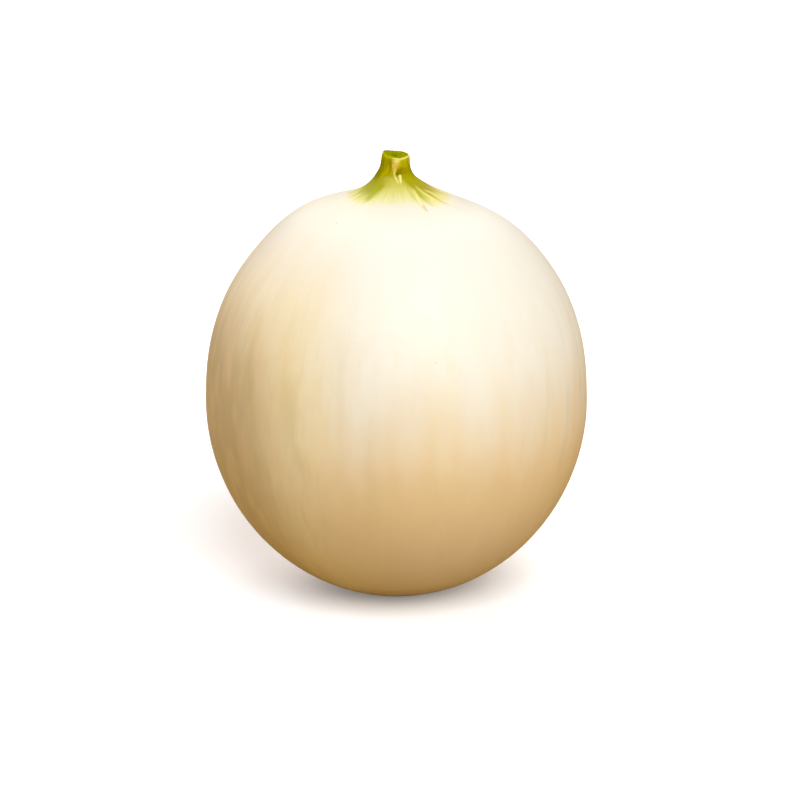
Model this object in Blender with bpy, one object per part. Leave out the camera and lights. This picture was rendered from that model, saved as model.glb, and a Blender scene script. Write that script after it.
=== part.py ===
"""A whole sweet melon, standing on its blossom end, with the cut stub of its stalk.

Blender 4.5, metres, +Z up. The origin is the centre of the small flat spot that the fruit
rests on, and the stalk points up +Z. The front is -Y.
"""

import math

import bmesh
import bpy
from mathutils import Vector
from mathutils.geometry import interpolate_bezier

# Fruit body
FRUIT_RADIUS = 0.0750
BELOW_WIDEST = 0.0790  # from the widest ring down to the blossom pole, before the flat spot
ABOVE_WIDEST = 0.0839  # from the widest ring up to the pole that the stalk covers
SHOULDER_POWER = 2.285  # 2 would make the upper half an ellipsoid, and more squares its shoulders
FLAT_SPOT_DEPTH = 0.0022  # how much of the blossom end the flat spot takes off
FLAT_SPOT_RING = 0.8  # a ring inside the flat spot, as a share of its radius

# Crown and stalk
CROWN_RADIUS = 0.0208  # where the flank turns up into the neck
CROWN_HANDLE = 0.0042  # how far the flank's slope carries on into the neck
NECK_HANDLE = 0.0068  # how far the stalk's upright side carries down into the neck
COLLAR_HEIGHT = 0.0108  # top of the neck, above the fruit's pole
COLLAR_RADIUS = 0.0055
STALK_TOP_RADIUS = 0.0053
STALK_HEIGHT = 0.0141  # middle of the cut face, above the fruit's pole
STALK_OFFSET = 0.0009  # how far the stalk stands off the axis, towards -X
OFFSET_RISE = 0.0069  # height above the fruit's pole at which it stands off that far
STALK_RETURN = 0.0005  # how far its top bends back towards +X
SEAT_RADIUS = 0.0142  # of the crease where the stalk's foot meets the fruit
SEAT_GAP = 0.0003
CUT_EDGE = 0.0006  # rounding of the cut face's rim
CUT_DISH = 0.0007  # how far the middle of the cut face has shrunk in
CUT_SLOPE = math.tan(math.radians(5.5))  # the cut falls towards +X
CUT_LEAN = math.tan(math.radians(5.5))  # and towards the front
CUT_SADDLE = 0.0003  # the rim is this much higher at its sides and lower at its front and back

# Relief, where each wave round the axis has a count, a height and a phase
GIRTH_WAVES = ((1, 0.0005, math.pi), (2, 0.0003, 0.0), (3, 0.0004, 0.5))
FLARE_RIBS = ((7, 0.00035, 2.2), (13, 0.00022, 0.7))
STALK_RIBS = ((5, 0.00022, 0.4), (11, 0.00012, 1.3))
FLARE_RIB_RADIUS = 0.0150  # where the flare's ribs are highest
FLARE_RIB_SPREAD = 0.0100
SHOULDER_RISE = 0.0010  # squares the shoulder all round
RISE_RADIUS = 0.0425  # where that rise is greatest
RISE_SPREAD = 0.0185
SHOULDER_LEAN = 0.0010  # the shoulder stands this much higher on -X and lower on +X
LEAN_RADIUS = 0.0360  # where that lean is greatest
LEAN_SPREAD = 0.0220
CROWN_SWELL = 0.0005  # the crown swells up by this much on +X
SWELL_RADIUS = 0.0215  # where that swelling is greatest
SWELL_SPREAD = 0.0090

# Facets
SIDES = 96
LOWER_RINGS = 15
UPPER_RINGS = 17
NECK_RINGS = 14
RIM_RINGS = 2
DISH_RINGS = 3
SHARP_ANGLE = math.radians(35.0)

# Finish
RIND_COLOUR = (0.86, 0.76, 0.54, 1.0)
RIND_ROUGHNESS = 0.42
STALK_COLOUR = (0.34, 0.33, 0.03, 1.0)
STALK_ROUGHNESS = 0.55

# Heights above the flat spot
WIDEST_HEIGHT = BELOW_WIDEST - FLAT_SPOT_DEPTH
POLE_HEIGHT = WIDEST_HEIGHT + ABOVE_WIDEST
COLLAR_TOP = POLE_HEIGHT + COLLAR_HEIGHT
CUT_TOP = POLE_HEIGHT + STALK_HEIGHT


def clear_scene():
    for obj in list(bpy.data.objects):
        bpy.data.objects.remove(obj)


def finish(name, colour, roughness):
    """A plain Principled material."""
    material = bpy.data.materials.new(name)
    material.use_nodes = True
    shader = material.node_tree.nodes["Principled BSDF"]
    shader.inputs["Base Color"].default_value = colour
    shader.inputs["Roughness"].default_value = roughness
    shader.inputs["Metallic"].default_value = 0.0
    return material


def bump(value, middle, spread):
    """1 at the middle, falling smoothly to nothing at the spread either side."""
    away = min(abs(value - middle) / spread, 1.0)
    return (1.0 - away * away) ** 2


def share(value, low, high):
    """0 at or below low and 1 at or above high."""
    return min(max((value - low) / (high - low), 0.0), 1.0)


def ease(value, low, high):
    """As share, with soft ends."""
    part = share(value, low, high)
    return part * part * (3.0 - 2.0 * part)


def waves(parts, angle):
    return sum(height * math.cos(count * angle + phase) for count, height, phase in parts)


def flank(angle):
    """The body's radius and height, from -90 degrees at the blossom pole to 90 at the stalk's."""
    rise = abs(math.sin(angle))
    if angle > 0.0:
        height = WIDEST_HEIGHT + ABOVE_WIDEST * rise ** (2.0 / SHOULDER_POWER)
    else:
        height = WIDEST_HEIGHT - BELOW_WIDEST * rise
    return Vector((FRUIT_RADIUS * math.cos(angle), 0.0, height))


def flank_profile():
    """Points from inside the flat spot, over its edge and up to the crown."""
    foot_angle = -math.asin(WIDEST_HEIGHT / BELOW_WIDEST)
    crown_angle = math.acos(CROWN_RADIUS / FRUIT_RADIUS)
    flat = [Vector((flank(foot_angle).x * FLAT_SPOT_RING, 0.0, 0.0))]
    lower = [flank(foot_angle * (1.0 - i / LOWER_RINGS)) for i in range(LOWER_RINGS)]
    upper = [flank(crown_angle * i / UPPER_RINGS) for i in range(UPPER_RINGS + 1)]
    return flat + lower + upper


def neck_profile():
    """Points of the flare, from the crown up to the stalk's upright side."""
    below_crown, crown = flank_profile()[-2:]
    slope = (crown - below_crown).normalized()
    collar = Vector((COLLAR_RADIUS, 0.0, COLLAR_TOP))
    return interpolate_bezier(
        crown,
        crown + slope * CROWN_HANDLE,
        collar - Vector((0.0, 0.0, NECK_HANDLE)),
        collar,
        NECK_RINGS + 1,
    )


def height_of_seat():
    """Height of the crease where the stalk's foot meets the fruit."""
    points = neck_profile()
    for outer, inner in zip(points, points[1:]):
        if inner.x <= SEAT_RADIUS:
            inward = (outer.x - SEAT_RADIUS) / (outer.x - inner.x)
            return outer.lerp(inner, inward).z
    raise ValueError("the seat is narrower than the stalk")


SEAT_HEIGHT = height_of_seat()


def fruit_profile():
    """Radius and height from the flat spot up to the crease round the stalk."""
    neck = [point for point in neck_profile()[1:] if point.x > SEAT_RADIUS + SEAT_GAP]
    return flank_profile() + neck + [Vector((SEAT_RADIUS, 0.0, SEAT_HEIGHT))]


def stalk_profile():
    """Radius and height from the foot's edge up the neck, over the rim and in across the cut."""
    foot_edge = Vector((SEAT_RADIUS, 0.0, SEAT_HEIGHT + SEAT_GAP))
    neck = [point for point in neck_profile() if point.x < SEAT_RADIUS - SEAT_GAP]
    face_radius = STALK_TOP_RADIUS - CUT_EDGE
    rim = []
    for i in range(RIM_RINGS + 1):
        angle = math.pi / 2.0 * i / RIM_RINGS
        out = CUT_EDGE * math.cos(angle)
        up = CUT_EDGE * (math.sin(angle) - 1.0)
        rim.append(Vector((face_radius + out, 0.0, CUT_TOP + up)))
    dish = []
    for i in range(1, DISH_RINGS + 1):
        outward = 1.0 - i / (DISH_RINGS + 1)
        dish.append(Vector((face_radius * outward, 0.0, CUT_TOP - CUT_DISH * (1.0 - outward**2))))
    return [foot_edge] + neck + rim + dish


def cut_rise(point):
    """How far the cut stands above a level one."""
    saddle = CUT_SADDLE * (point.x**2 - point.y**2) / STALK_TOP_RADIUS**2
    return CUT_LEAN * point.y - CUT_SLOPE * point.x + saddle


def relief(point):
    """The point of the plain turned shape, moved to where the real surface is."""
    radius = math.hypot(point.x, point.y)
    angle = math.atan2(point.y, point.x)
    up_stalk = share(point.z, SEAT_HEIGHT, COLLAR_TOP)
    outward = waves(GIRTH_WAVES, angle) * bump(point.z, WIDEST_HEIGHT, ABOVE_WIDEST)
    outward += waves(STALK_RIBS, angle) * up_stalk * radius / COLLAR_RADIUS
    if point.z > WIDEST_HEIGHT:
        outward += waves(FLARE_RIBS, angle) * bump(radius, FLARE_RIB_RADIUS, FLARE_RIB_SPREAD)
    moved = point + Vector((math.cos(angle), math.sin(angle), 0.0)) * outward
    moved.z += cut_rise(moved) * share(point.z, POLE_HEIGHT, CUT_TOP) ** 2
    moved.x -= STALK_OFFSET * ease(point.z, POLE_HEIGHT, POLE_HEIGHT + OFFSET_RISE)
    moved.x += STALK_RETURN * share(point.z, POLE_HEIGHT + OFFSET_RISE, CUT_TOP)
    if point.z > WIDEST_HEIGHT:
        moved.z += SHOULDER_RISE * bump(radius, RISE_RADIUS, RISE_SPREAD)
        moved.z -= SHOULDER_LEAN * math.cos(angle) * bump(radius, LEAN_RADIUS, LEAN_SPREAD)
        towards_x = max(math.cos(angle), 0.0) ** 2
        moved.z += CROWN_SWELL * towards_x * bump(radius, SWELL_RADIUS, SWELL_SPREAD)
    return moved


def turned_solid(name, profile, material):
    """A closed solid: the profile spun about the Z axis, capped at both ends and given its relief."""
    shape = bmesh.new()
    verts = [shape.verts.new(point) for point in profile]
    edges = [shape.edges.new(pair) for pair in zip(verts, verts[1:])]
    bmesh.ops.spin(
        shape,
        geom=verts + edges,
        cent=(0.0, 0.0, 0.0),
        axis=(0.0, 0.0, 1.0),
        angle=math.tau,
        steps=SIDES,
        use_merge=True,
    )
    open_ends = [edge for edge in shape.edges if edge.is_boundary]
    bmesh.ops.holes_fill(shape, edges=open_ends, sides=0)
    for vert in shape.verts:
        vert.co = relief(vert.co)
    bmesh.ops.recalc_face_normals(shape, faces=shape.faces)
    mesh = bpy.data.meshes.new(name)
    shape.to_mesh(mesh)
    shape.free()
    mesh.shade_smooth()
    mesh.set_sharp_from_angle(angle=SHARP_ANGLE)
    mesh.materials.append(material)
    solid = bpy.data.objects.new(name, mesh)
    bpy.context.scene.collection.objects.link(solid)
    return solid


def main():
    clear_scene()
    turned_solid("fruit", fruit_profile(), finish("rind", RIND_COLOUR, RIND_ROUGHNESS))
    turned_solid("stalk", stalk_profile(), finish("stalk", STALK_COLOUR, STALK_ROUGHNESS))


main()
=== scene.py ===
"""The looks of a whole sweet melon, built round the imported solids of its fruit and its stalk.

Blender 4.5, metres, +Z up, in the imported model's own frame: the origin is the middle of the
flat spot that the fruit rests on, the stalk points up +Z, and the front is -Y.

Each piece is a profile turned about the Z axis, moved as the solids are by relief(), and then
raised along its normal by its lift. A place on it is a radius, an angle round the axis (0 at +X
and -90 degrees at the front) and a height, all measured after the move.
"""

import math
from collections import namedtuple

import bpy
import numpy as np
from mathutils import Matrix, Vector, noise
from mathutils.geometry import interpolate_bezier


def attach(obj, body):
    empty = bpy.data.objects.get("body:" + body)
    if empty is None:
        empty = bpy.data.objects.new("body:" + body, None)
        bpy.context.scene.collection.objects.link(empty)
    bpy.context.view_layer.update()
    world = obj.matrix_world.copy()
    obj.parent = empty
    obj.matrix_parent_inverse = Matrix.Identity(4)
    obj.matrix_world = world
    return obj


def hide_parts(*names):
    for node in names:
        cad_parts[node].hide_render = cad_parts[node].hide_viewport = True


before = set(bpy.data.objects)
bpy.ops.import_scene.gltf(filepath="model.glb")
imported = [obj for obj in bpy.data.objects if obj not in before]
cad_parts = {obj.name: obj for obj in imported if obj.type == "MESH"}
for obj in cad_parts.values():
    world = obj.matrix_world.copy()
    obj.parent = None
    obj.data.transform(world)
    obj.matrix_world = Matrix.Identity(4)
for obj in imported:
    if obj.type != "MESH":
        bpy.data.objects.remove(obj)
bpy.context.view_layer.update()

# Fruit body, as in the part's source
FRUIT_RADIUS = 0.0750
BELOW_WIDEST = 0.0790
ABOVE_WIDEST = 0.0839
SHOULDER_POWER = 2.285
FLAT_SPOT_DEPTH = 0.0022
WIDEST_HEIGHT = BELOW_WIDEST - FLAT_SPOT_DEPTH
POLE_HEIGHT = WIDEST_HEIGHT + ABOVE_WIDEST

# Crown and stalk, as in the part's source
CROWN_RADIUS = 0.0208
CROWN_HANDLE = 0.0042
NECK_HANDLE = 0.0068
COLLAR_HEIGHT = 0.0108
COLLAR_RADIUS = 0.0055
STALK_TOP_RADIUS = 0.0053
STALK_HEIGHT = 0.0141
STALK_OFFSET = 0.0009
OFFSET_RISE = 0.0069
STALK_RETURN = 0.0005
SEAT_RADIUS = 0.0142
CUT_EDGE = 0.0006
CUT_DISH = 0.0007
CUT_SLOPE = math.tan(math.radians(5.5))
CUT_LEAN = math.tan(math.radians(5.5))
CUT_SADDLE = 0.0003
COLLAR_TOP = POLE_HEIGHT + COLLAR_HEIGHT
CUT_TOP = POLE_HEIGHT + STALK_HEIGHT

# Relief, as in the part's source: each wave round the axis has a count, a height and a phase
GIRTH_WAVES = ((1, 0.0005, math.pi), (2, 0.0003, 0.0), (3, 0.0004, 0.5))
FLARE_RIBS = ((7, 0.00035, 2.2), (13, 0.00022, 0.7))
STALK_RIBS = ((5, 0.00022, 0.4), (11, 0.00012, 1.3))
FLARE_RIB_RADIUS = 0.0150
FLARE_RIB_SPREAD = 0.0100
SHOULDER_RISE = 0.0010
RISE_RADIUS = 0.0425
RISE_SPREAD = 0.0185
SHOULDER_LEAN = 0.0010
LEAN_RADIUS = 0.0360
LEAN_SPREAD = 0.0220
CROWN_SWELL = 0.0005
SWELL_RADIUS = 0.0215
SWELL_SPREAD = 0.0090

# Fineness of the turned surfaces
SIDES = 360
CROWN_EDGE_ANGLE = math.acos(CROWN_RADIUS / FRUIT_RADIUS)
SLOPE_STEP = math.radians(0.5)  # the flank's slope at the crown is taken over this angle
FLANK_STOPS = (  # degrees above the widest ring, and how many rings lie between one and the next
    (-90.0, 22),
    (-84.0, 22),
    (-74.0, 66),
    (0.0, 58),
    (62.0, 46),
    (math.degrees(CROWN_EDGE_ANGLE), 0),
)
NECK_RINGS = 96
SIDE_RINGS = 12
RIM_RINGS = 8
FACE_RINGS = 30

# Fine relief of the skin
SKIN_INSET = 0.00015  # keeps the bumps of the skin inside the solid's box
INSET_HEIGHT = 0.0200  # the inset has grown to its full depth here
INSET_RADII = (0.0150, 0.0300)  # and comes in between these
DENT_DEPTH = 0.00022
DENT_SIZE = 0.0240
DENT_RADII = (0.0200, 0.0450)  # the dents come in between these
SPOT_SOFTNESS = 0.00015  # rounds the edge of the flat spot
SCAR_RADIUS = 0.0052  # the corky scar that the flower left
SCAR_DEPTH = 0.00045
SCAR_RING_SPREAD = 0.0016  # the scar's rim stands up as a ring of teeth
SCAR_RING_HEIGHT = 0.6  # as a share of the moat that it stands in
SCAR_TEETH = ((23, 0.4, 1.0),)  # how the ring's height changes on its way round
MOAT_DEPTH = 0.00012
MOAT_SPREAD = 0.0040
CORK_EDGE = 0.0012  # how far the cork's colour takes to fade beyond the scar
CAP_DIP = 0.0020  # how far the hidden faces at the seat sink in, away from each other

# Lines on the surface. Each runs from a start to an end, with its angle in degrees and its half
# width in metres at both, and an amount from 0 to 1. Start and end are radii on the crown, and
# heights on the flank and the stalk.
Line = namedtuple("Line", "start end angle end_angle width end_width amount")
LINE_SOFTNESS = 0.22  # how much of a line's length its ends take to fade

# The crown's lines, by radius
RIDGES = (
    Line(0.0120, 0.0222, -56.0, -61.0, 0.00050, 0.00055, 0.85),
    Line(0.0108, 0.0204, -43.0, -36.0, 0.00060, 0.00085, 1.00),
    Line(0.0128, 0.0190, -31.5, -21.0, 0.00050, 0.00060, 0.80),
    Line(0.0150, 0.0195, -16.0, -12.0, 0.00040, 0.00050, 0.45),
    Line(0.0135, 0.0195, -8.0, 2.0, 0.00050, 0.00060, 0.45),
    Line(0.0155, 0.0212, -141.0, -138.0, 0.00060, 0.00060, 0.45),
    Line(0.0160, 0.0212, -124.0, -121.0, 0.00070, 0.00050, 0.30),
    Line(0.0160, 0.0215, -156.0, -152.0, 0.00050, 0.00060, 0.40),
)
GROOVES = (
    Line(0.0130, 0.0212, -52.0, -47.0, 0.00110, 0.00060, 0.60),
    Line(0.0116, 0.0214, -32.0, -31.5, 0.00075, 0.00060, 0.85),
    Line(0.0212, 0.0280, -30.0, -22.0, 0.00050, 0.00035, 0.30),
    Line(0.0134, 0.0226, -64.5, -62.8, 0.00032, 0.00028, 0.60),
    Line(0.0236, 0.0278, -61.0, -60.0, 0.00035, 0.00030, 0.30),
    Line(0.0205, 0.0240, -46.0, -44.0, 0.00045, 0.00035, 0.30),
    Line(0.0130, 0.0200, -19.0, -9.0, 0.00055, 0.00050, 0.55),
    Line(0.0150, 0.0218, 2.0, 6.0, 0.00050, 0.00045, 0.45),
    Line(0.0138, 0.0202, -162.0, -165.0, 0.00060, 0.00045, 0.55),
    Line(0.0150, 0.0200, -151.0, -149.0, 0.00045, 0.00035, 0.45),
    Line(0.0146, 0.0222, -143.5, -136.0, 0.00045, 0.00035, 0.55),
    Line(0.0165, 0.0222, -131.0, -130.0, 0.00045, 0.00035, 0.50),
    Line(0.0180, 0.0250, -119.5, -117.0, 0.00035, 0.00030, 0.40),
    Line(0.0190, 0.0262, -166.0, -163.0, 0.00045, 0.00030, 0.30),
    Line(0.0186, 0.0250, -8.0, -2.0, 0.00045, 0.00030, 0.25),
)
BROWNED = (
    Line(0.0204, 0.0240, -60.5, -61.2, 0.00070, 0.00055, 0.60),
    Line(0.0148, 0.0228, -32.0, -30.6, 0.00055, 0.00055, 0.55),
    Line(0.0238, 0.0300, -28.0, -22.0, 0.00060, 0.00050, 0.22),
    Line(0.0106, 0.0206, -14.0, 4.0, 0.00130, 0.00100, 0.75),
    Line(0.0150, 0.0216, -52.0, -50.0, 0.00060, 0.00045, 0.30),
    Line(0.0128, 0.0205, -172.0, -196.0, 0.00080, 0.00060, 0.50),
)
RIDGE_HEIGHT = 0.00038
GROOVE_DEPTH = 0.00016
GROOVE_GREEN = 0.45  # how much greener a full groove is than the crown round it

# The crown's lines on the side that faces away, each drawn between two limits
BACK_SEED = 4
BACK_ANGLES = range(14, 166, 7)
BACK_START = (0.0120, 0.0150)
BACK_LENGTH = (0.0040, 0.0100)
BACK_WIDTH = (0.00030, 0.00080)
BACK_TAPER = 0.7  # their width at the end, as a share of that at the start
BACK_LEAN = 4.0  # how many degrees a line may turn on its way
BACK_AMOUNT = (0.2, 0.7)
BACK_RIDGES_SHARE = 0.35  # the rest are grooves
ANGLE_SHAKE = 3.0  # how many degrees a line or band may stand off its place

# How the stalk's green runs out over the crown: at each angle in degrees, the radii in metres at
# which it starts to fade and has gone
GREEN_REACH = (
    (-180.0, 0.0120, 0.0200),
    (-150.0, 0.0128, 0.0212),
    (-131.0, 0.0136, 0.0214),
    (-116.0, 0.0084, 0.0206),
    (-98.0, 0.0060, 0.0200),
    (-80.0, 0.0058, 0.0198),
    (-64.0, 0.0080, 0.0200),
    (-50.0, 0.0108, 0.0226),
    (-30.0, 0.0122, 0.0234),
    (-8.0, 0.0122, 0.0222),
    (50.0, 0.0110, 0.0212),
    (100.0, 0.0122, 0.0220),
    (140.0, 0.0110, 0.0204),
)
FRAYED_AT = 0.45  # the green's edge is frayed most where it is this green
FRAYED_SPREAD = 0.55
LIME_PATCHES = (
    Line(0.0104, 0.0172, -134.0, -131.0, 0.00200, 0.00150, 0.85),
    Line(0.0086, 0.0150, -156.0, -152.0, 0.00260, 0.00220, 0.45),
    Line(0.0112, 0.0166, -46.0, -44.0, 0.00110, 0.00120, 0.40),
    Line(0.0100, 0.0160, 88.0, 92.0, 0.00240, 0.00150, 0.60),
)

# The flank's bands, by height
TAN_BANDS = (
    Line(0.1120, 0.0450, -163.0, -155.0, 0.0022, 0.0020, 0.45),
    Line(0.1120, 0.0560, -141.0, -134.0, 0.0036, 0.0030, 0.45),
    Line(0.1000, 0.0600, -124.0, -118.0, 0.0044, 0.0052, 0.35),
    Line(0.1180, 0.0720, -107.5, -105.5, 0.0018, 0.0022, 0.16),
    Line(0.1040, 0.0560, -148.0, -144.0, 0.0018, 0.0030, 0.30),
    Line(0.0980, 0.0480, -98.0, -97.0, 0.0030, 0.0036, 0.18),
    Line(0.1240, 0.0620, -14.0, -19.0, 0.0018, 0.0018, 0.30),
    Line(0.1180, 0.0540, -25.0, -31.0, 0.0013, 0.0015, 0.22),
    Line(0.1080, 0.0620, -37.0, -42.0, 0.0011, 0.0014, 0.16),
)
PINK_BANDS = (
    Line(0.1260, 0.0900, -160.0, -148.0, 0.0050, 0.0056, 0.45),
    Line(0.1180, 0.0960, -142.0, -132.0, 0.0044, 0.0052, 0.45),
    Line(0.0960, 0.0640, -130.5, -129.0, 0.0024, 0.0030, 0.50),
    Line(0.1120, 0.0840, -126.0, -124.0, 0.0028, 0.0030, 0.30),
    Line(0.1160, 0.0500, -19.0, -26.0, 0.0026, 0.0030, 0.32),
    Line(0.1020, 0.0480, -31.0, -38.0, 0.0030, 0.0044, 0.24),
)
STRAW_BANDS = (
    Line(0.1300, 0.0880, -130.0, -121.0, 0.0060, 0.0064, 0.45),
    Line(0.1060, 0.0840, -115.0, -112.0, 0.0024, 0.0026, 0.30),
    Line(0.1100, 0.0600, -76.0, -76.0, 0.0090, 0.0110, 0.16),
)

# The flank's bands on the side that faces away, each drawn between two limits
BAND_SEED = 11
BAND_ANGLES = range(-4, 190, 5)
BAND_TOP = (0.095, 0.135)
BAND_LENGTH = (0.035, 0.080)
BAND_WIDTH = (0.0022, 0.0060)
BAND_LEAN = 6.0
BAND_AMOUNT = (0.12, 0.45)

# The side tinted golden to tan: the skin's own tan and painted shade where it turns from the key
TAN_AND_SHADE_ANGLE = math.radians(-172.0)  # its middle
TAN_AND_SHADE_REACH = math.radians(84.0)  # how far round from there the tan has faded out

# Marks on the stalk, by height
TONGUE = (
    Line(0.1740, 0.1712, -91.5, -94.5, 0.00120, 0.00135, 1.00),
    Line(0.1718, 0.1698, -95.5, -98.0, 0.00150, 0.00110, 1.00),
    Line(0.1702, 0.1677, -98.0, -100.0, 0.00100, 0.00030, 1.00),
)
TONGUE_TIP = (Line(0.1750, 0.1722, -90.0, -92.5, 0.00160, 0.00110, 0.90),)
AMBER_PATCH = (
    Line(0.1732, 0.1706, -74.0, -72.0, 0.00110, 0.00130, 0.75),
    Line(0.1736, 0.1700, -48.0, -46.0, 0.00230, 0.00230, 0.60),
)
TAIL = (Line(0.1680, 0.1648, -100.0, -84.0, 0.00034, 0.00040, 0.85),)
NUB = (Line(0.1676, 0.1648, -80.5, -80.0, 0.00075, 0.00050, 1.00),)
STRIP = (Line(0.1744, 0.1714, -7.0, -16.0, 0.00060, 0.00035, 0.85),)
# the hollows are dented, and their dark brown is painted shade in the dents
HOLLOW = (
    Line(0.1690, 0.1675, -86.0, -89.0, 0.00060, 0.00050, 0.85),
    Line(0.1697, 0.1680, -77.0, -77.0, 0.00110, 0.00090, 0.75),
    Line(0.1698, 0.1678, -58.0, -56.0, 0.00150, 0.00140, 0.45),
)
# painted shade: darker olive down the stalk's left and right flanks, where they turn away from the
# front
STALK_SIDE_SHADE = (  # down the two sides
    Line(0.1730, 0.1655, -170.0, -166.0, 0.00200, 0.00260, 0.70),
    Line(0.1716, 0.1660, -16.0, -14.0, 0.00120, 0.00130, 0.45),
)
GREY_PATCH = (  # a dull patch beside the foot of the tongue
    Line(0.1670, 0.1640, -112.0, -105.0, 0.00280, 0.00380, 0.60),
)
TONGUE_HEIGHT = 0.00018
TONGUE_SIDES = (0.25, 0.55)  # the amounts of its mark between which the tongue rises
TONGUE_EDGE = (0.20, 0.60)  # and those between which its colour comes in
NUB_HEIGHT = 0.00060
NUB_SIDES = (0.10, 0.80)
NUB_EDGE = (0.15, 0.60)
HOLLOW_DEPTH = 0.00040
FIBRES = ((23, 0.000040, 0.5), (37, 0.000035, 2.0), (61, 0.000025, 1.2))
STEM_FOOT = 0.1655  # the stem's own colour starts here, and is full at its top
STEM_FOOT_TOP = 0.1682

# The cut face and its edge
# the broken edge's pale yellow is partly its own colour, partly a painted highlight where the key
# catches the edge
BEVEL_ANGLE = math.radians(-50.0)  # where the edge is broken off widest and shows pale
BEVEL_SPREAD = math.radians(100.0)
BEVEL_DEPTH = 0.00040
BEVEL_LEAST = 0.25  # how much of its depth it has at the other side
BEVEL_EDGE = (0.35, 0.75)  # the shares of its depth between which its colour comes in
BRIM_ANGLE = math.radians(-138.0)  # where the edge is narrow and bright
BRIM_SPREAD = math.radians(62.0)
BRIM_EDGE = (0.30, 0.80)  # how near the cut's edge the brim's colour comes in, from 0 to 1
EDGE_WIDTH = 0.0018
HEART_PLACE = (-0.0008, 0.0003)
HEART_SIZE = (0.0017, 0.0030)
HEART_DEPTH = 0.00050
HEART_WAVES = ((3, 0.20, 0.5),)
BUNDLES = 10
BUNDLE_WAVES = ((3, 0.7, -math.pi / 2.0),)  # how unevenly they are spaced round the ring
BUNDLE_RADIUS = 0.0031
BUNDLE_SIZE = 0.0009
BUNDLE_HEIGHT = 0.00012
FACE_ROUGHNESS = 0.00010
FACE_GRAIN = 0.0007
FACE_CALM = 0.0008  # the roughness dies away over this radius, towards the middle

# Colours, as sRGB from 0 to 255
CREAM = (233, 229, 220)
# the crown's darker cream is painted shade that tones down the top, where the key falls brightest
CROWN_CREAM = (222, 217, 200)
# the buff warms the lower flank: partly the ripe skin's own blush, partly a painted reflection of
# warm light from below
BUFF = (224, 197, 154)
BASE_CREAM = (226, 207, 174)
# the tan and golden tints of the side turned from the key: partly the skin's own colours, partly
# painted warm shade
TAN = (205, 184, 146)
GOLDEN = (238, 223, 188)
OLIVE_TAN = (196, 180, 126)
PINK_BUFF = (232, 204, 164)
STRAW = (238, 222, 172)
RIDGE_YELLOW = (236, 222, 130)
TIP_BROWN = (196, 152, 96)
STEM_OLIVE = (153, 142, 0)
STEM_DARK = (122, 110, 0)
STEM_BRIGHT = (184, 178, 0)
AMBER = (192, 177, 0)
LIME = (158, 168, 0)
SCAR_BUFF = (214, 184, 84)
SCAR_PALE = (228, 214, 118)
NUB_CREAM = (240, 230, 140)
# the dark brown of the stalk's hollows: painted shade in the recesses
HOLLOW_SHADE_BROWN = (104, 92, 0)
# the dark olive of the painted shade down the stalk's two flanks
SIDE_SHADE_OLIVE = (104, 110, 0)
KHAKI = (192, 184, 90)
FACE_GREEN = (132, 132, 0)
HEART_GREEN = (106, 112, 0)
BUNDLE_GREEN = (150, 160, 0)
# partly a painted highlight on the broken edge of the cut
BEVEL_YELLOW = (214, 206, 100)
BRIM_GREEN = (168, 168, 0)
CORK = (170, 138, 92)
SPECK_BROWN = (150, 116, 70)
PAPER_WHITE = (248, 249, 252)
CARD_BUFF = (180, 153, 97)

# Noise that runs from pole to pole: how wide its streaks are in degrees and how long in metres, how
# many finer layers it has, and the values of it that count as none and as all
Streaks = namedtuple("Streaks", "width length detail low high", defaults=(0.0, 1.0))
RAGGED_STREAKS = Streaks(13.0, 0.070, 3.0, 0.30, 0.70)
PATCHY_STREAKS = Streaks(5.0, 0.022, 4.0, 0.34, 0.62)
RAY_STREAKS = Streaks(3.0, 0.012, 3.0, 0.28, 0.72)
DARK_STREAKS = Streaks(9.0, 0.008, 3.0, 0.50, 0.70)
BRIGHT_STREAKS = Streaks(14.0, 0.005, 2.0, 0.52, 0.70)
STALK_BUMPS = Streaks(2.5, 0.010, 3.0)

# Even noise: the size of its patches in metres, and the rest as for streaks
Grain = namedtuple("Grain", "size detail low high", defaults=(0.0, 1.0))
SPECK_GRAIN = Grain(0.0006, 2.0, 0.30, 0.70)
CORK_GRAIN = Grain(0.0012, 2.0, 0.30, 0.70)
MARK_GRAIN = Grain(0.0008, 3.0, 0.34, 0.62)
RIND_BUMPS = Grain(0.0016, 3.0)

# Where each of the skin's colours starts and is full, by height or by how far round to the tanned
# and shaded side
CROWN_CREAM_HEIGHTS = (0.150, 0.160)
BUFF_HEIGHTS = (0.110, 0.052)
BASE_CREAM_HEIGHTS = (0.056, 0.006)
GOLDEN_HEIGHTS = (0.168, 0.112)
GOLDEN_TOWARDS_SHADE = (0.10, 0.50)
TAN_HEIGHTS = (0.134, 0.086)
TAN_TOWARDS_SHADE = (0.33, 0.70)
RAGGEDNESS = 0.006  # how far up and down those ends run, in metres
BAND_LEAST = 0.20  # how much of a band is left where it is faintest

# Mottling of the skin: each kind's streaks, amount and colour
MOTTLES = (
    (Streaks(6.5, 0.020, 4.0, 0.46, 0.72), 0.34, STRAW),
    (Streaks(5.2, 0.015, 4.0, 0.46, 0.72), 0.34, PINK_BUFF),
    (Streaks(3.6, 0.012, 4.0, 0.46, 0.72), 0.18, OLIVE_TAN),
    (Streaks(1.6, 0.030, 4.0, 0.46, 0.72), 0.10, OLIVE_TAN),
)
MOTTLED_HEIGHTS = (0.150, 0.100)
MOTTLED_TOP = 0.30  # how much of the mottling is left above them
MOTTLED_PALE = 0.28  # and where the skin isn't golden

# Specks, each in a cell of its own, with its sizes as shares of the cell's
SPECK_CELL = 0.0075
SPECK_RADII = (0.045, 0.075)  # the smallest and the largest speck
SPECK_CORE = 0.015  # a speck is full within this
SPECK_UNEVEN = 0.02  # how far a speck's outline goes in and out
SPECK_CHANCES = (0.70, 1.00)  # cells below the first have no speck, and at the second a full one
SPECK_AMOUNT = 0.55

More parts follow.
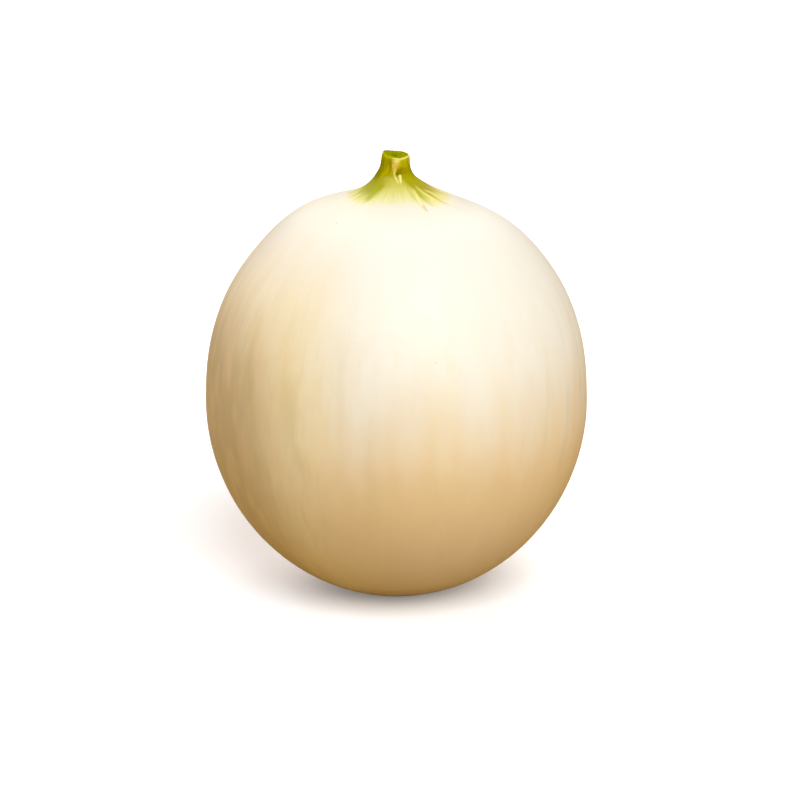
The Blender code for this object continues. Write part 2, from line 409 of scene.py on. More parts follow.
# The crown's greens, by how green it is, from the skin in to the stalk
CROWN_GREENS = (
    (0.00, (226, 221, 192)),
    (0.22, (221, 215, 168)),
    (0.45, (214, 208, 134)),
    (0.66, (202, 196, 104)),
    (0.84, (184, 178, 66)),
    (1.00, (160, 153, 12)),
)
CROWN_SKIN_TOP = 0.20  # how green the crown is where none of the skin's own colour is left
RAY_AMOUNT = 0.09  # how much greener or paler the rays are
RIDGE_AMOUNT = 0.90
BROWN_AMOUNT = 0.75
STEM_DARK_AMOUNT = 0.6
STEM_BRIGHT_AMOUNT = 0.5
MARK_LEAST = 0.60  # how much of a mark on the stalk is left where it is faintest
CORK_LEAST = 0.55

# The marks on the stalk's side and on its cut, with their colours, in the order that they cover it
SIDE_TINTS = (
    ("grey", KHAKI),
    ("dark", SIDE_SHADE_OLIVE),
    ("hollow", HOLLOW_SHADE_BROWN),
    ("amber", AMBER),
    ("tongue", SCAR_BUFF),
    ("tip", SCAR_PALE),
    ("cream", NUB_CREAM),
)
CUT_TINTS = (
    ("cut", FACE_GREEN),
    ("bundle", BUNDLE_GREEN),
    ("heart", HEART_GREEN),
    ("brim", BRIM_GREEN),
    ("bevel", BEVEL_YELLOW),
)

# Gloss and fine bumps
GLOSS = 0.35
GLOSS_HEIGHTS = (0.1560, 0.1670)  # it dies away from the first to the second
SKIN_ROUGHNESS = 0.5
RIND_BUMP_HEIGHT = 0.00003
STALK_BUMP_HEIGHT = 0.00006

# Studio
FLOOR_RADIUS = 8.0
FLOOR_GLOW = 0.20  # lightens the shadows
CARD_DEPTH = 0.0005  # how far the card lies under the floor
WALL_RADIUS = 7.9
WALL_HEIGHT = 4.0
WALL_GLOW = 1.1
STUDIO_SIDES = 96
PAPER_ROUGHNESS = 0.9
PAPER_SPECULAR = 0.2

# Camera
CAMERA_RISE = math.radians(16.0)
CAMERA_TARGET = (0.00125, 0.0, 0.0756)
CAMERA_DISTANCE = 1.3
CAMERA_LENS = 148.1

# Lamps. An azimuth is 0 in front of the fruit and 90 degrees on its +X side.
Lamp = namedtuple("Lamp", "name strength tint azimuth elevation")
LAMPS = (
    Lamp("key", 3.4, (0.93, 0.985, 1.0), 21.0, 42.0),
    Lamp("edge", 1.15, (0.90, 0.92, 1.0), -122.0, 33.0),
    Lamp("back", 1.15, (1.0, 0.97, 0.92), 180.0, 40.0),
)
LAMP_ANGLE = math.radians(50.0)  # how wide each looks from the fruit
ROOM_LIGHT = (0.22, 0.15, 0.09, 1.0)

# Where the vertices of a piece lie on its surface, and which ring of the plain profile each is on
Places = namedtuple("Places", "radius angle height ring_radius ring_height")


def bump(value, middle, spread):
    """1 at the middle, falling smoothly to nothing at the spread either side."""
    away = np.minimum(np.abs(value - middle) / spread, 1.0)
    return (1.0 - away * away) ** 2


def share(value, low, high):
    """0 at or below low and 1 at or above high."""
    return np.clip((value - low) / (high - low), 0.0, 1.0)


def ease(value, low, high):
    """As share, with soft ends."""
    part = share(value, low, high)
    return part * part * (3.0 - 2.0 * part)


def waves(parts, angle):
    return sum(height * np.cos(count * angle + phase) for count, height, phase in parts)


def turned_by(angle, middle):
    """The way round from a middle angle, between half a turn back and half a turn on."""
    return (angle - middle + math.pi) % math.tau - math.pi


def spaced(stops):
    """Evenly spaced values from each stop to the next, where a stop is a value and a count."""
    runs = [
        np.linspace(start, end, count, endpoint=False)
        for (start, count), (end, _) in zip(stops, stops[1:])
    ]
    return np.concatenate(runs + [[stops[-1][0]]])


def flank(angle):
    """The body's radius and height, from -90 degrees at the blossom pole to 90 at the stalk's."""
    rise = np.abs(np.sin(angle))
    above = WIDEST_HEIGHT + ABOVE_WIDEST * rise ** (2.0 / SHOULDER_POWER)
    below = WIDEST_HEIGHT - BELOW_WIDEST * rise
    # Never below the flat spot, and rounded where it reaches it
    below = (below + np.sqrt(below**2 + 4.0 * SPOT_SOFTNESS**2)) / 2.0
    return np.stack([FRUIT_RADIUS * np.cos(angle), np.where(angle > 0.0, above, below)], axis=-1)


def neck():
    """Radius and height up the flare, from the crown to the stalk's upright side."""
    crown = flank(CROWN_EDGE_ANGLE)
    before = flank(CROWN_EDGE_ANGLE - SLOPE_STEP)
    slope = (crown - before) / np.linalg.norm(crown - before)
    collar = np.array([COLLAR_RADIUS, COLLAR_TOP])
    handles = (crown, crown + slope * CROWN_HANDLE, collar - [0.0, NECK_HANDLE], collar)
    curve = interpolate_bezier(*[Vector((*point, 0.0)) for point in handles], NECK_RINGS)
    return np.array(curve)[:, :2]


NECK = neck()
SEAT_HEIGHT = float(np.interp(-SEAT_RADIUS, -NECK[:, 0], NECK[:, 1]))
SEAT = np.array([[SEAT_RADIUS, SEAT_HEIGHT]])
SEAT_SLOPE = np.gradient(NECK, axis=0)[np.argmin(np.abs(NECK[:, 0] - SEAT_RADIUS))]


def fruit_profile():
    """Radius and height from the blossom pole up to the seat, then to the tip of the hidden cap."""
    body = flank(np.radians(spaced(FLANK_STOPS)))
    flare = NECK[NECK[:, 0] > SEAT_RADIUS][1:]
    return np.concatenate([body, flare, SEAT, [[0.0, SEAT_HEIGHT - CAP_DIP]]])


def stalk_profile():
    """Radius and height from the hidden cap's tip out to the seat, up and in across the cut."""
    side_foot = [COLLAR_RADIUS, COLLAR_TOP]
    side_top = CUT_TOP - CUT_EDGE
    side = np.linspace(side_foot, [STALK_TOP_RADIUS, side_top], SIDE_RINGS + 1)[1:-1]
    face_radius = STALK_TOP_RADIUS - CUT_EDGE
    turn = np.linspace(0.0, math.pi / 2.0, RIM_RINGS)
    rim = np.stack(
        [face_radius + CUT_EDGE * np.cos(turn), side_top + CUT_EDGE * np.sin(turn)], axis=-1
    )
    inward = np.linspace(1.0, 0.0, FACE_RINGS)[1:]
    face = np.stack([face_radius * inward, CUT_TOP - CUT_DISH * (1.0 - inward**2)], axis=-1)
    flare = NECK[NECK[:, 0] < SEAT_RADIUS]
    return np.concatenate([[[0.0, SEAT_HEIGHT + CAP_DIP]], SEAT, flare, side, rim, face])


def cut_rise(x, y):
    """How far the cut stands above a level one."""
    return CUT_LEAN * y - CUT_SLOPE * x + CUT_SADDLE * (x**2 - y**2) / STALK_TOP_RADIUS**2


def relief(radius, angle, height):
    """The points of the plain turned shape, moved as the solids are."""
    upper = height > WIDEST_HEIGHT
    up_stalk = share(height, SEAT_HEIGHT, COLLAR_TOP)
    outward = waves(GIRTH_WAVES, angle) * bump(height, WIDEST_HEIGHT, ABOVE_WIDEST)
    outward += waves(STALK_RIBS, angle) * up_stalk * radius / COLLAR_RADIUS
    outward += waves(FLARE_RIBS, angle) * bump(radius, FLARE_RIB_RADIUS, FLARE_RIB_SPREAD) * upper
    x = (radius + outward) * np.cos(angle)
    y = (radius + outward) * np.sin(angle)
    z = height + cut_rise(x, y) * share(height, POLE_HEIGHT, CUT_TOP) ** 2
    x -= STALK_OFFSET * ease(height, POLE_HEIGHT, POLE_HEIGHT + OFFSET_RISE)
    x += STALK_RETURN * share(height, POLE_HEIGHT + OFFSET_RISE, CUT_TOP)
    z += SHOULDER_RISE * bump(radius, RISE_RADIUS, RISE_SPREAD) * upper
    z -= SHOULDER_LEAN * np.cos(angle) * bump(radius, LEAN_RADIUS, LEAN_SPREAD) * upper
    towards_x = np.maximum(np.cos(angle), 0.0) ** 2
    z += CROWN_SWELL * towards_x * bump(radius, SWELL_RADIUS, SWELL_SPREAD) * upper
    return np.stack([x, y, z], axis=-1)


def along(line, measure, places):
    """A line's mark at each place: its amount in the middle, fading beside it and at its ends."""
    way = (measure - line.start) / (line.end - line.start)
    on_way = np.clip(way, 0.0, 1.0)
    middle = np.radians(line.angle + (line.end_angle - line.angle) * on_way)
    width = line.width + (line.end_width - line.width) * on_way
    across = np.exp(-((places.radius * turned_by(places.angle, middle) / width) ** 2))
    inside = ease(way, -LINE_SOFTNESS, LINE_SOFTNESS)
    inside *= 1.0 - ease(way, 1.0 - LINE_SOFTNESS, 1.0 + LINE_SOFTNESS)
    return line.amount * across * inside


def strongest(lines, measure, places):
    """The most that any of several lines gives at each place."""
    found = np.zeros_like(places.radius)
    for line in lines:
        found = np.maximum(found, along(line, measure, places))
    return found


def on_crown(lines, places):
    """The most that lines on the crown give, which run by radius."""
    return strongest(lines, places.radius, places) * (places.height > WIDEST_HEIGHT)


def on_side(lines, places):
    """The most that lines on the flank or the stalk give, which run by height."""
    return strongest(lines, places.height, places)


def back_lines():
    """Ridges and grooves for the side that faces away, sized as the front's are."""
    draw = np.random.default_rng(BACK_SEED)
    ridges = []
    grooves = []
    for middle in BACK_ANGLES:
        angle = middle + draw.uniform(-ANGLE_SHAKE, ANGLE_SHAKE)
        start = draw.uniform(*BACK_START)
        end = start + draw.uniform(*BACK_LENGTH)
        width = draw.uniform(*BACK_WIDTH)
        end_angle = angle + draw.uniform(-BACK_LEAN, BACK_LEAN)
        amount = draw.uniform(*BACK_AMOUNT)
        kind = ridges if draw.random() < BACK_RIDGES_SHARE else grooves
        kind.append(Line(start, end, angle, end_angle, width, BACK_TAPER * width, amount))
    return ridges, grooves


def back_bands():
    """Bands for the flank that faces away, dealt out among tan, pink and straw."""
    draw = np.random.default_rng(BAND_SEED)
    bands = ([], [], [])
    for middle in BAND_ANGLES:
        angle = middle + draw.uniform(-ANGLE_SHAKE, ANGLE_SHAKE)
        top = draw.uniform(*BAND_TOP)
        bottom = top - draw.uniform(*BAND_LENGTH)
        width = draw.uniform(*BAND_WIDTH)
        amount = draw.uniform(*BAND_AMOUNT)
        end_angle = angle + draw.uniform(-BAND_LEAN, BAND_LEAN)
        band = Line(top, bottom, angle, end_angle, width, width, amount)
        bands[draw.integers(len(bands))].append(band)
    return bands


BACK_RIDGES, BACK_GROOVES = back_lines()
BACK_TAN, BACK_PINK, BACK_STRAW = back_bands()


def crown_ridges(places):
    return on_crown((*RIDGES, *BACK_RIDGES), places)


def crown_grooves(places):
    return on_crown((*GROOVES, *BACK_GROOVES), places)


def crown_lift(places):
    """How far the skin and the flare stand out from the plain shape, along its normal."""
    return RIDGE_HEIGHT * crown_ridges(places) - GROOVE_DEPTH * crown_grooves(places)


def scar_dip(places):
    """How deep the flower's scar lies: a dish with a toothed ring round it, in a shallow moat."""
    dish = bump(places.radius, 0.0, SCAR_RADIUS) ** 0.5
    ring = bump(places.radius, SCAR_RADIUS, SCAR_RING_SPREAD)
    ring *= SCAR_RING_HEIGHT + waves(SCAR_TEETH, places.angle)
    moat = (1.0 - ring) * bump(places.radius, SCAR_RADIUS, MOAT_SPREAD)
    return (SCAR_DEPTH * dish + MOAT_DEPTH * moat) * (places.height < INSET_HEIGHT)


def noise_at(points, size):
    """Smooth noise round 0 at each point, with patches of a size in metres."""
    return np.array([noise.noise(Vector(point) / size) for point in points])


def fruit_lift(places, points):
    up_flank = ease(places.height, INSET_HEIGHT, 2.0 * INSET_HEIGHT)
    dented = up_flank * ease(places.radius, *DENT_RADII)
    inset = ease(places.height, 0.0, INSET_HEIGHT) * ease(places.radius, *INSET_RADII)
    out = crown_lift(places)
    out += DENT_DEPTH * np.minimum(noise_at(points, DENT_SIZE), 0.0) * dented
    out -= SKIN_INSET * inset
    out -= scar_dip(places)
    return out


def on_cut(places):
    """Which places are on the cut face."""
    return (places.ring_height > COLLAR_TOP) & (places.ring_radius < STALK_TOP_RADIUS - CUT_EDGE)


def cut_edge(places):
    """How near each place is to the edge of the cut."""
    away = np.hypot(places.ring_radius - STALK_TOP_RADIUS, places.ring_height - CUT_TOP)
    return bump(away, 0.0, EDGE_WIDTH) * (places.ring_height > COLLAR_TOP)


def bevel(places):
    """How far the cut's edge is broken away, most at one side."""
    side = bump(turned_by(places.angle, BEVEL_ANGLE), 0.0, BEVEL_SPREAD)
    return cut_edge(places) * (BEVEL_LEAST + (1.0 - BEVEL_LEAST) * side)


def bundles(places):
    """The ring of fibre bundles that the cut goes through."""
    turn = np.cos(BUNDLES * places.angle + waves(BUNDLE_WAVES, places.angle))
    ring = bump(places.ring_radius, BUNDLE_RADIUS, BUNDLE_SIZE)
    return np.maximum(turn, 0.0) * ring * on_cut(places)


def heart(places, points):
    """The soft middle of the cut, off centre, long from front to back and uneven."""
    away = (points[:, :2] - HEART_PLACE) / HEART_SIZE
    uneven = 1.0 + waves(HEART_WAVES, places.angle)
    return bump(np.linalg.norm(away, axis=1) / uneven, 0.0, 1.0) * on_cut(places)


def stalk_lift(places, points):
    face = on_cut(places)
    out = crown_lift(places)
    upright = share(places.ring_height, SEAT_HEIGHT, COLLAR_TOP) * ~face
    out += waves(FIBRES, places.angle) * upright
    out += TONGUE_HEIGHT * ease(on_side(TONGUE, places), *TONGUE_SIDES)
    out += NUB_HEIGHT * ease(on_side(NUB, places), *NUB_SIDES)
    out -= HOLLOW_DEPTH * on_side(HOLLOW, places)
    out -= BEVEL_DEPTH * bevel(places)
    out -= HEART_DEPTH * heart(places, points)
    out += BUNDLE_HEIGHT * bundles(places)
    rough = face * share(places.ring_radius, 0.0, FACE_CALM)
    out += FACE_ROUGHNESS * noise_at(points, FACE_GRAIN) * rough
    return out


def profile_normals(profile, seat):
    """The outward direction of each ring, as radius and height. The seat's is that of its skin."""
    slope = np.gradient(profile, axis=0)
    slope[seat] = SEAT_SLOPE
    outward = np.stack([slope[:, 1], -slope[:, 0]], axis=-1)
    return outward / np.linalg.norm(outward, axis=1, keepdims=True)


def ring_values(values):
    """A profile's values, as one for each vertex: the rings' first, then both tips'."""
    return np.concatenate([np.repeat(values[1:-1], SIDES, axis=0), values[[0, -1]]])


def turned_faces(rings):
    """The faces between the rings, and the fans that join the end rings to their tips."""
    across = np.arange(SIDES)
    following = (across + 1) % SIDES
    band = np.stack([across, following, following + SIDES, across + SIDES], axis=-1)
    quads = [band + ring * SIDES for ring in range(rings - 1)]
    last = (rings - 1) * SIDES
    first_tip = np.full(SIDES, rings * SIDES)
    fans = [
        np.stack([first_tip, following, across], axis=-1),
        np.stack([first_tip + 1, across + last, following + last], axis=-1),
    ]
    return [tuple(face) for face in np.concatenate(quads).tolist() + np.concatenate(fans).tolist()]


def turned_mesh(name, profile, seat, lift, marks):
    """A closed surface turned from a profile that starts and ends on the axis.

    seat is the seat's row in the profile, lift() raises the surface, and marks() gives its
    attributes.
    """
    rings = len(profile) - 2
    angle = np.append(np.tile(np.linspace(0.0, math.tau, SIDES, endpoint=False), rings), [0.0, 0.0])
    ring_radius = ring_values(profile[:, 0])
    ring_height = ring_values(profile[:, 1])
    normal = ring_values(profile_normals(profile, seat))
    points = relief(ring_radius, angle, ring_height)
    radius = np.hypot(points[:, 0], points[:, 1])
    around = np.arctan2(points[:, 1], points[:, 0])
    places = Places(radius, around, points[:, 2].copy(), ring_radius, ring_height)
    out = lift(places, points)
    points[:, 0] += out * normal[:, 0] * np.cos(angle)
    points[:, 1] += out * normal[:, 0] * np.sin(angle)
    points[:, 2] += out * normal[:, 1]

    mesh = bpy.data.meshes.new(name)
    mesh.from_pydata(points.tolist(), [], turned_faces(rings))
    for mark, values in marks(places, points).items():
        attribute = mesh.attributes.new(mark, "FLOAT", "POINT")
        attribute.data.foreach_set("value", values.astype(np.float32))
    mesh.shade_smooth()
    for edge in mesh.edges:
        edge.use_edge_sharp = all(vert // SIDES == seat - 1 for vert in edge.vertices)
    piece = bpy.data.objects.new(name, mesh)
    bpy.context.scene.collection.objects.link(piece)
    return piece


def skin_marks(places):
    """How far each place is turned to the side with the tan and the painted shade, and where it is
    tan, pink or straw, from 0 to 1.
    """
    from_tan_and_shade = np.abs(turned_by(places.angle, TAN_AND_SHADE_ANGLE))
    return {
        "tan_and_shade": 1.0 - share(from_tan_and_shade, 0.0, TAN_AND_SHADE_REACH),
        "tan": on_side((*TAN_BANDS, *BACK_TAN), places),
        "pink": on_side((*PINK_BANDS, *BACK_PINK), places),
        "straw": on_side((*STRAW_BANDS, *BACK_STRAW), places),
    }


def crown_marks(places):
    """How green the crown is, how frayed, and where it is pale, bright green or browned."""
    angles, starts, ends = np.transpose(GREEN_REACH)
    degrees = np.degrees(places.angle)
    start = np.interp(degrees, angles, starts, period=360.0)
    end = np.interp(degrees, angles, ends, period=360.0)
    spread = (1.0 - share(places.radius, start, end)) * (places.height > WIDEST_HEIGHT)
    return {
        "green": np.clip(spread + GROOVE_GREEN * crown_grooves(places), 0.0, 1.0),
        "frayed": bump(spread, FRAYED_AT, FRAYED_SPREAD),
        "pale": crown_ridges(places),
        "lime": on_crown(LIME_PATCHES, places),
        "browned": on_crown(BROWNED, places),
    }


def fruit_marks(places, points):
    marks = skin_marks(places) | crown_marks(places)
    corky = 1.0 - ease(places.radius, SCAR_RADIUS, SCAR_RADIUS + CORK_EDGE)
    marks["cork"] = corky * (places.height < INSET_HEIGHT)
    return marks


def stalk_marks(places, points):
    marks = skin_marks(places) | crown_marks(places)
    brim_side = bump(turned_by(places.angle, BRIM_ANGLE), 0.0, BRIM_SPREAD)
    nub = ease(on_side(NUB, places), *NUB_EDGE)
    marks["stem"] = ease(places.height, STEM_FOOT, STEM_FOOT_TOP)
    marks["grey"] = on_side(GREY_PATCH, places)
    # painted shade down the stalk's two flanks
    marks["dark"] = on_side(STALK_SIDE_SHADE, places)
    # painted shade in the hollows
    marks["hollow"] = on_side(HOLLOW, places)
    marks["amber"] = on_side(AMBER_PATCH, places)
    marks["tongue"] = ease(on_side(TONGUE, places), *TONGUE_EDGE)
    marks["tip"] = on_side(TONGUE_TIP, places)
    marks["cream"] = np.maximum(on_side((*TAIL, *STRIP), places), nub)
    marks["cut"] = on_cut(places).astype(float)
    marks["bundle"] = bundles(places)
    marks["heart"] = heart(places, points)
    marks["brim"] = ease(cut_edge(places), *BRIM_EDGE) * brim_side
    # pale yellow where the edge is broken: partly its own colour, partly painted highlight
    marks["bevel"] = ease(bevel(places), *BEVEL_EDGE)
    return marks


class Finish:
    """One material's nodes. Each method adds a node and gives back the socket with its result."""

    def __init__(self, name):
        self.material = bpy.data.materials.new(name)
        self.material.use_nodes = True
        self.tree = self.material.node_tree
        self.shader = self.tree.nodes["Principled BSDF"]
        self.place = self.add("ShaderNodeTexCoord").outputs["Object"]

    def add(self, kind, inputs=None, **settings):
        node = self.tree.nodes.new(kind)
        for setting, value in settings.items():
            setattr(node, setting, value)
        for socket, value in (inputs or {}).items():
            self.put(node.inputs[socket], value)
        return node

    def put(self, socket, value):
        """Links a socket to another, or sets its own value."""
        if isinstance(value, bpy.types.NodeSocket):
            self.tree.links.new(value, socket)
        else:
            socket.default_value = value

    def times(self, first, second):
        return self.add("ShaderNodeMath", {0: first, 1: second}, operation="MULTIPLY").outputs[0]

    def plus(self, first, second):
        return self.add("ShaderNodeMath", {0: first, 1: second}, operation="ADD").outputs[0]

    def remap(self, value, low, high, low_out=0.0, high_out=1.0):
        """Turns low to high into low_out to high_out, with soft ends."""
        inputs = {
            "Value": value,
            "From Min": low,
            "From Max": high,
            "To Min": low_out,
            "To Max": high_out,
        }
        node = self.add("ShaderNodeMapRange", inputs, interpolation_type="SMOOTHSTEP")
        return node.outputs["Result"]

    def height(self):
        return self.add("ShaderNodeSeparateXYZ", {0: self.place}).outputs[2]

    def noise(self, spot, scale, detail):
        """Noise from 0 to 1."""
        inputs = {"Vector": spot, "Scale": scale, "Detail": detail}
        return self.add("ShaderNodeTexNoise", inputs).outputs["Fac"]

    def grain(self, kind):
        """The plain noise of a kind of Grain."""
        return self.noise(self.place, 1.0 / kind.size, kind.detail)

    def streaks(self, kind):
        """The plain noise of a kind of Streaks."""
        scale = 1.0 / math.radians(kind.width)
        parts = self.add("ShaderNodeSeparateXYZ", {0: self.place}).outputs
        flat = self.add("ShaderNodeCombineXYZ", {0: parts[0], 1: parts[1]}).outputs[0]
        around = self.add("ShaderNodeVectorMath", {0: flat}, operation="NORMALIZE").outputs[0]
        rise = self.times(parts[2], 1.0 / (kind.length * scale))
        up = self.add("ShaderNodeCombineXYZ", {2: rise}).outputs[0]
        spot = self.add("ShaderNodeVectorMath", {0: around, 1: up}, operation="ADD").outputs[0]
        return self.noise(spot, scale, kind.detail)

    def grained(self, kind, least, most):
        """Values from least to most, spread by a kind of Grain."""
        return self.remap(self.grain(kind), kind.low, kind.high, least, most)

    def streaked(self, kind, least, most):
        """Values from least to most, spread by a kind of Streaks."""
        return self.remap(self.streaks(kind), kind.low, kind.high, least, most)

    def mark(self, name):
        return self.add("ShaderNodeAttribute", attribute_name=name).outputs["Fac"]

    def ramp(self, value, stops):
        """A colour for each value, running evenly from one stop's to the next."""
        node = self.add("ShaderNodeValToRGB", {0: value})
        points = node.color_ramp.elements
        for position, tint in stops[1:-1]:
            points.new(position)
        for point, (position, tint) in zip(points, stops):
            point.position = position
            point.color = colour(tint)
        return node.outputs["Color"]

    def cover(self, amount, below, above):
        """The colour below, covered by an amount from 0 to 1 with a socket's or an sRGB colour."""
        if not isinstance(above, bpy.types.NodeSocket):
            above = colour(above)
        inputs = {0: amount, 6: below, 7: above}
        return self.add("ShaderNodeMix", inputs, data_type="RGBA").outputs[2]

    def roughen(self, height, distance):
        """Fine bumps of a height in metres."""
        inputs = {"Height": height, "Distance": distance, "Strength": 1.0}
        bumps = self.add("ShaderNodeBump", inputs).outputs["Normal"]
        self.put(self.shader.inputs["Normal"], bumps)


def colour(rgb):
    """A colour written in sRGB, from 0 to 255, as Blender's linear one."""
    parts = [part / 255.0 for part in rgb]
    linear = [((part + 0.055) / 1.055) ** 2.4 if part > 0.04045 else part / 12.92 for part in parts]
    return (*linear, 1.0)


def skin_colour(finish):
    """Cream, golden to tan on one side as its own tan and painted shade, and buff low down as its
    own blush and a painted warm reflection, mottled in bands from pole to pole.
    """
    height = finish.height()
    ragged = finish.plus(height, finish.streaked(RAGGED_STREAKS, -RAGGEDNESS, RAGGEDNESS))
    patchy = finish.streaked(PATCHY_STREAKS, BAND_LEAST, 1.0)
    # golden to tan on the side turned from the key: the skin's own tan and painted shade
    tan_and_shade = finish.mark("tan_and_shade")
    golden = finish.times(
        finish.remap(tan_and_shade, *GOLDEN_TOWARDS_SHADE), finish.remap(ragged, *GOLDEN_HEIGHTS)
    )
    shade_tan = finish.times(finish.remap(tan_and_shade, *TAN_TOWARDS_SHADE), finish.remap(ragged, *TAN_HEIGHTS))
    mottling = finish.times(
        finish.remap(height, *MOTTLED_HEIGHTS, MOTTLED_TOP, 1.0),
        finish.remap(golden, 0.0, 1.0, MOTTLED_PALE, 1.0),
    )
    # painted shade: the skin darkens towards the top, where the key falls brightest
    skin = finish.cover(finish.remap(height, *CROWN_CREAM_HEIGHTS), colour(CREAM), CROWN_CREAM)
    # buff low down: the skin's blush and a painted reflection of warm light
    skin = finish.cover(finish.remap(ragged, *BUFF_HEIGHTS), skin, BUFF)
    skin = finish.cover(finish.remap(height, *BASE_CREAM_HEIGHTS), skin, BASE_CREAM)
    skin = finish.cover(golden, skin, GOLDEN)
    skin = finish.cover(shade_tan, skin, TAN)
    for kind, amount, tint in MOTTLES:
        skin = finish.cover(finish.times(finish.streaked(kind, 0.0, amount), mottling), skin, tint)
    skin = finish.cover(finish.times(finish.mark("straw"), patchy), skin, STRAW)
    skin = finish.cover(finish.times(finish.mark("pink"), patchy), skin, PINK_BUFF)
    return finish.cover(finish.times(finish.mark("tan"), patchy), skin, OLIVE_TAN)


def crown_colour(finish, skin):
    """The skin under the green that runs out from the stalk, with its ridges and browned tips."""
    rays = finish.streaked(RAY_STREAKS, -RAY_AMOUNT, RAY_AMOUNT)
    green = finish.plus(finish.mark("green"), finish.times(rays, finish.mark("frayed")))
    tint = finish.ramp(green, CROWN_GREENS)
    skin = finish.cover(finish.remap(green, 0.0, CROWN_SKIN_TOP), skin, tint)
    skin = finish.cover(finish.times(finish.mark("pale"), RIDGE_AMOUNT), skin, RIDGE_YELLOW)
    skin = finish.cover(finish.mark("lime"), skin, LIME)
    return finish.cover(finish.times(finish.mark("browned"), BROWN_AMOUNT), skin, TIP_BROWN)


def speckled(finish, skin):
    """The skin with a thin scatter of small brown specks of all sizes."""
    inputs = {"Vector": finish.place, "Scale": 1.0 / SPECK_CELL}
    cells = finish.add("ShaderNodeTexVoronoi", inputs).outputs
    chances = finish.add("ShaderNodeSeparateColor", {0: cells["Color"]}).outputs
    uneven = finish.grained(SPECK_GRAIN, -SPECK_UNEVEN, SPECK_UNEVEN)
    away = finish.plus(cells["Distance"], uneven)
    near = finish.remap(away, finish.remap(chances[1], 0.0, 1.0, *SPECK_RADII), SPECK_CORE)
    shown = finish.remap(chances[0], *SPECK_CHANCES, 0.0, SPECK_AMOUNT)
    return finish.cover(finish.times(near, shown), skin, SPECK_BROWN)


def polish(finish):
    """A waxy skin's soft gloss, which dies away up the flare and is gone from the stem."""
    gloss = finish.remap(finish.height(), *GLOSS_HEIGHTS, GLOSS, 0.0)
    finish.put(finish.shader.inputs["Specular IOR Level"], gloss)
    finish.put(finish.shader.inputs["Roughness"], SKIN_ROUGHNESS)


def rind_finish():
    finish = Finish("rind_skin")
    shown = crown_colour(finish, speckled(finish, skin_colour(finish)))
    cork = finish.times(finish.mark("cork"), finish.grained(CORK_GRAIN, CORK_LEAST, 1.0))
    finish.put(finish.shader.inputs["Base Color"], finish.cover(cork, shown, CORK))
    polish(finish)
    finish.roughen(finish.grain(RIND_BUMPS), RIND_BUMP_HEIGHT)
    return finish.material


def stem_colour(finish, skin):
    """The stem's olive, streaked with darker and brighter lines."""
    stem = finish.mark("stem")
    dark = finish.streaked(DARK_STREAKS, 0.0, STEM_DARK_AMOUNT)
    bright = finish.streaked(BRIGHT_STREAKS, 0.0, STEM_BRIGHT_AMOUNT)
    skin = finish.cover(stem, skin, STEM_OLIVE)
    skin = finish.cover(finish.times(stem, bright), skin, STEM_BRIGHT)
    return finish.cover(finish.times(stem, dark), skin, STEM_DARK)


def stalk_finish():
    finish = Finish("stalk_skin")
    shown = stem_colour(finish, crown_colour(finish, skin_colour(finish)))
    uneven = finish.grained(MARK_GRAIN, MARK_LEAST, 1.0)
    for mark, tint in SIDE_TINTS:
        shown = finish.cover(finish.times(finish.mark(mark), uneven), shown, tint)
    for mark, tint in CUT_TINTS:
        shown = finish.cover(finish.mark(mark), shown, tint)
    finish.put(finish.shader.inputs["Base Color"], shown)
    polish(finish)
    finish.roughen(finish.streaks(STALK_BUMPS), STALK_BUMP_HEIGHT)
    return finish.material


def make_piece(node, profile, seat, lift, marks, material):
    piece = turned_mesh(node + "_skin", profile, seat, lift, marks)
    piece.data.materials.append(material)
    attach(piece, "root")
    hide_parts(node)


def make_camera():
    back = Vector((0.0, -math.cos(CAMERA_RISE), math.sin(CAMERA_RISE)))
    data = bpy.data.cameras.new("camera")
    data.lens = CAMERA_LENS
    camera = bpy.data.objects.new("camera", data)
    camera.location = Vector(CAMERA_TARGET) + back * CAMERA_DISTANCE
    camera.rotation_euler = (-back).to_track_quat("-Z", "Y").to_euler()
    bpy.context.scene.collection.objects.link(camera)
    bpy.context.scene.camera = camera


def studio_ring(radius, height):
    turn = np.linspace(0.0, math.tau, STUDIO_SIDES, endpoint=False)
    return [(radius * math.cos(a), radius * math.sin(a), height) for a in turn]


def studio_paper(name, points, faces, tint, glow):
    """A sheet of matt paper for the studio, which may glow by itself."""
    mesh = bpy.data.meshes.new(name)
    mesh.from_pydata(points, [], faces)
    finish = Finish(name + "_paper")
    finish.put(finish.shader.inputs["Base Color"], colour(tint))
    finish.put(finish.shader.inputs["Roughness"], PAPER_ROUGHNESS)
    finish.put(finish.shader.inputs["Specular IOR Level"], PAPER_SPECULAR)
    finish.put(finish.shader.inputs["Emission Color"], colour(tint))
    finish.put(finish.shader.inputs["Emission Strength"], glow)
    mesh.materials.append(finish.material)
    paper = bpy.data.objects.new(name, mesh)
    bpy.context.scene.collection.objects.link(paper)
    return paper


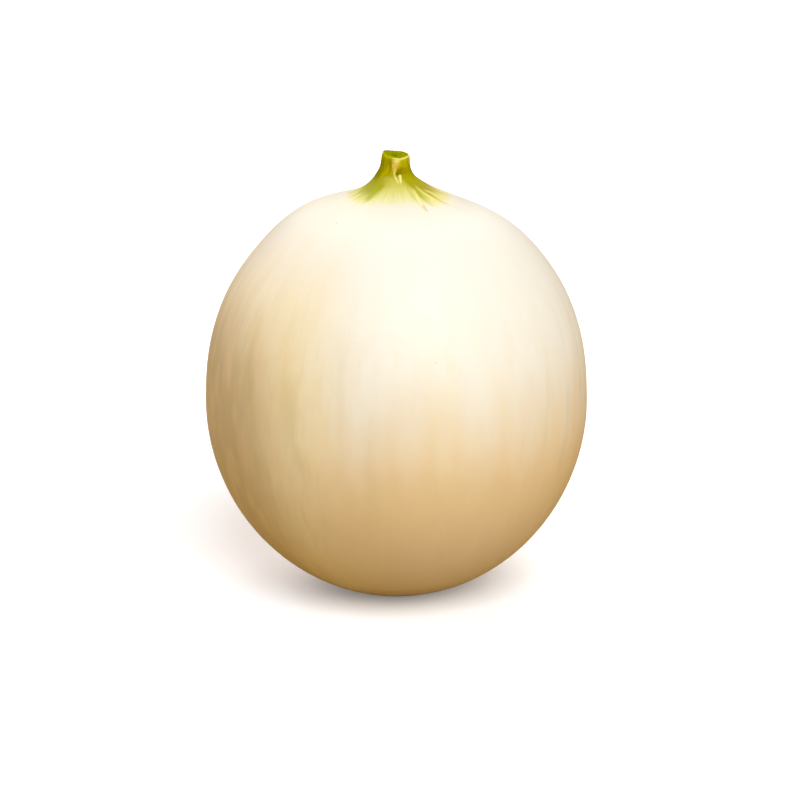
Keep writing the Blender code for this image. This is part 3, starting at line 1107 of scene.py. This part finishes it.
def make_studio():
    """A white floor and wall that only the camera sees, and a warm card that lights from below."""
    disc = [tuple(range(STUDIO_SIDES))]
    floor_rim = studio_ring(FLOOR_RADIUS, 0.0)
    floor = studio_paper("floor", floor_rim, disc, PAPER_WHITE, FLOOR_GLOW)
    card_rim = studio_ring(FLOOR_RADIUS, -CARD_DEPTH)
    card = studio_paper("card", card_rim, disc, CARD_BUFF, 0.0)
    card.visible_camera = False
    wall_rims = studio_ring(WALL_RADIUS, 0.0) + studio_ring(WALL_RADIUS, WALL_HEIGHT)
    sides = []
    for i in range(STUDIO_SIDES):
        following = (i + 1) % STUDIO_SIDES
        sides.append((i, following, following + STUDIO_SIDES, i + STUDIO_SIDES))
    wall = studio_paper("wall", wall_rims, sides, PAPER_WHITE, WALL_GLOW)
    for paper in (floor, wall):
        paper.visible_diffuse = False
        paper.visible_glossy = False
        paper.visible_shadow = False


def make_lamp(name, strength, tint, azimuth, elevation):
    """A wide soft lamp, with the angles of where it stands in degrees."""
    data = bpy.data.lights.new(name, "SUN")
    data.energy = strength
    data.color = tint
    data.angle = LAMP_ANGLE
    turn = math.radians(azimuth)
    rise = math.radians(elevation)
    across = math.cos(rise)
    towards = Vector((math.sin(turn) * across, -math.cos(turn) * across, math.sin(rise)))
    lamp = bpy.data.objects.new(name, data)
    lamp.rotation_euler = towards.to_track_quat("Z", "Y").to_euler()
    bpy.context.scene.collection.objects.link(lamp)


def make_light():
    """A key from the front right, a lamp for the left edge, one for the back, and a dim room."""
    for lamp in LAMPS:
        make_lamp(*lamp)
    world = bpy.data.worlds.new("studio")
    world.use_nodes = True
    world.node_tree.nodes["Background"].inputs["Color"].default_value = ROOM_LIGHT
    bpy.context.scene.world = world
    bpy.context.scene.view_settings.view_transform = "Standard"


make_camera()
fruit = fruit_profile()
make_piece("fruit", fruit, len(fruit) - 2, fruit_lift, fruit_marks, rind_finish())
make_piece("stalk", stalk_profile(), 1, stalk_lift, stalk_marks, stalk_finish())
make_studio()
make_light()
